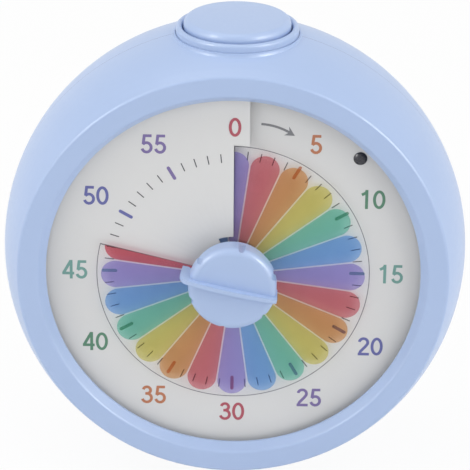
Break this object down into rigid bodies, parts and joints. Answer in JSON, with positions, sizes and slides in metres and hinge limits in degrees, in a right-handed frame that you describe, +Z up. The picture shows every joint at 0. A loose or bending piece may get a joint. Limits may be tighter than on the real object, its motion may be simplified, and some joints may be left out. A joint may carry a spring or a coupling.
{
  "type": "visual timer",
  "caption": "Round table timer: a knob feeds a coloured petal film through the slit of a helical dial to show the minutes left, with a large press button on top.",
  "frame": {"origin": "under the middle of the part's box, on the surface that the feet stand on", "axes": "+Z up, the dial faces -Y, +X to the right seen from the front"},
  "size_m": [0.138, 0.0656, 0.1395],
  "materials": {
    "case_blue": "satin moulded ABS",
    "dial_white": "matt moulded ABS",
    "film_colours": "printed clear film",
    "smoked_lens": "glossy moulded acrylic",
    "rubber_feet": "matt moulded",
    "screw_steel": "zinc plated",
    "spring_steel": "nickel plated",
    "turned_steel": "turned",
    "motor_can": "drawn and plated",
    "brass": "turned",
    "gear_plastic": "moulded acetal",
    "black_plastic": "moulded ABS",
    "board": "solder mask on glass laminate",
    "cell_jacket": "plain jacket on a steel can"
  },
  "bodies": {
    "housing": {"front_shell": "case_blue", "rear_shell": "case_blue", "button_collar": "case_blue", "dial_plate": "dial_white", "chassis_plate": "dial_white", "indicator_lens": "smoked_lens", "feet": "rubber_feet", "case_screws": "screw_steel", "button_screws": "screw_steel", "chassis_screws": "screw_steel", "movement_screws": "screw_steel", "circuit_screws": "screw_steel", "button_spring": "spring_steel", "battery_contacts": "spring_steel", "idler_axle": "turned_steel", "motor": "motor_can", "spindle_bush": "brass", "movement_plate": "black_plastic", "button_switch": "black_plastic", "control_chip": "black_plastic", "buzzer": "black_plastic", "slide_switch": "black_plastic", "button_board": "board", "circuit_board": "board", "batteries": "cell_jacket"},
    "setting_knob": {"knob": "case_blue", "spindle": "turned_steel", "drive_gear": "gear_plastic", "clutch_spring": "spring_steel", "spindle_clip": "spring_steel"},
    "film": {"film_disc": "film_colours", "film_hub": "dial_white"},
    "idler": {"idler_gear": "gear_plastic"},
    "pinion": {"motor_pinion": "brass"},
    "button": {"top_button": "case_blue", "stem_clip": "spring_steel"},
    "slider": {"sound_slider": "black_plastic"},
    "door": {"battery_door": "case_blue"}
  },
  "joints": [
    {"name": "knob_turn", "type": "hinge", "parent": "housing", "child": "setting_knob", "pos_m": [0, -0.0172, 0.0672], "axis": [0, 1, 0], "range_deg": [-282, 78]},
    {"name": "film_feed", "type": "slide", "parent": "setting_knob", "child": "film", "axis": [0, -1, 0], "range_m": [-0.00188, 0.00052]},
    {"name": "idler_turn", "type": "hinge", "parent": "housing", "child": "idler", "pos_m": [-0.01871, -0.0172, 0.078], "axis": [0, 1, 0], "range_deg": [-390, 1410]},
    {"name": "pinion_turn", "type": "hinge", "parent": "housing", "child": "pinion", "pos_m": [-0.01121, -0.0172, 0.09099], "axis": [0, 1, 0], "range_deg": [-5640, 1560]},
    {"name": "button_press", "type": "slide", "parent": "housing", "child": "button", "axis": [0, 0, -1], "range_m": [0, 0.002], "stiffness_N_per_m": 400, "springref_m": -0.003, "deforming": ["button_spring"]},
    {"name": "sound_slide", "type": "slide", "parent": "housing", "child": "slider", "axis": [1, 0, 0], "range_m": [0, 0.004]},
    {"name": "door_pull", "type": "slide", "parent": "housing", "child": "door", "axis": [0, 1, 0], "range_m": [0, 0.012]}
  ],
  "couplings": [
    {"joint": "film_feed", "follows": "knob_turn", "m_per_rad": 0.00038197},
    {"joint": "idler_turn", "follows": "knob_turn", "ratio": -5},
    {"joint": "pinion_turn", "follows": "knob_turn", "ratio": 20}
  ]
}
